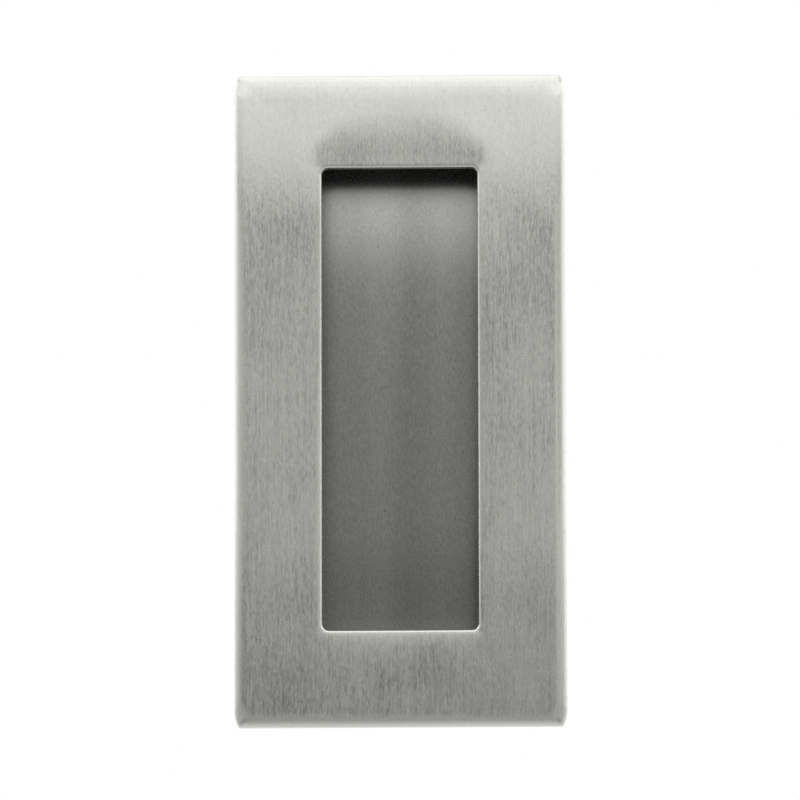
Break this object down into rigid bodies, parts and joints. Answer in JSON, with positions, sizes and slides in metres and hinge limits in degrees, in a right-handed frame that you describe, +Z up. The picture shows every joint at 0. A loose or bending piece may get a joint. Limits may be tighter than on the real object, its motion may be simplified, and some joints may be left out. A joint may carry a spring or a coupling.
{
  "type": "pocket door pull",
  "caption": "Rectangular flush pull for a sliding pocket door: a brushed stainless face plate with turned edges and an oblong finger recess, undercut all round, formed by a pan welded behind.",
  "frame": {"origin": "centre of the pull in the plane of the door's face, where the plate's turned edge bears", "axes": "+Z up along the pull's height, +Y into the door, so the front faces -Y, +X to the right seen from the front"},
  "size_m": [0.06, 0.0105, 0.12],
  "materials": {
    "brushed_stainless": "brushed along the height, satin",
    "satin_stainless": "as rolled and lightly brushed along the height"
  },
  "bodies": {
    "root": {"face_plate": "brushed_stainless", "recess_pan": "satin_stainless"}
  },
  "joints": []
}
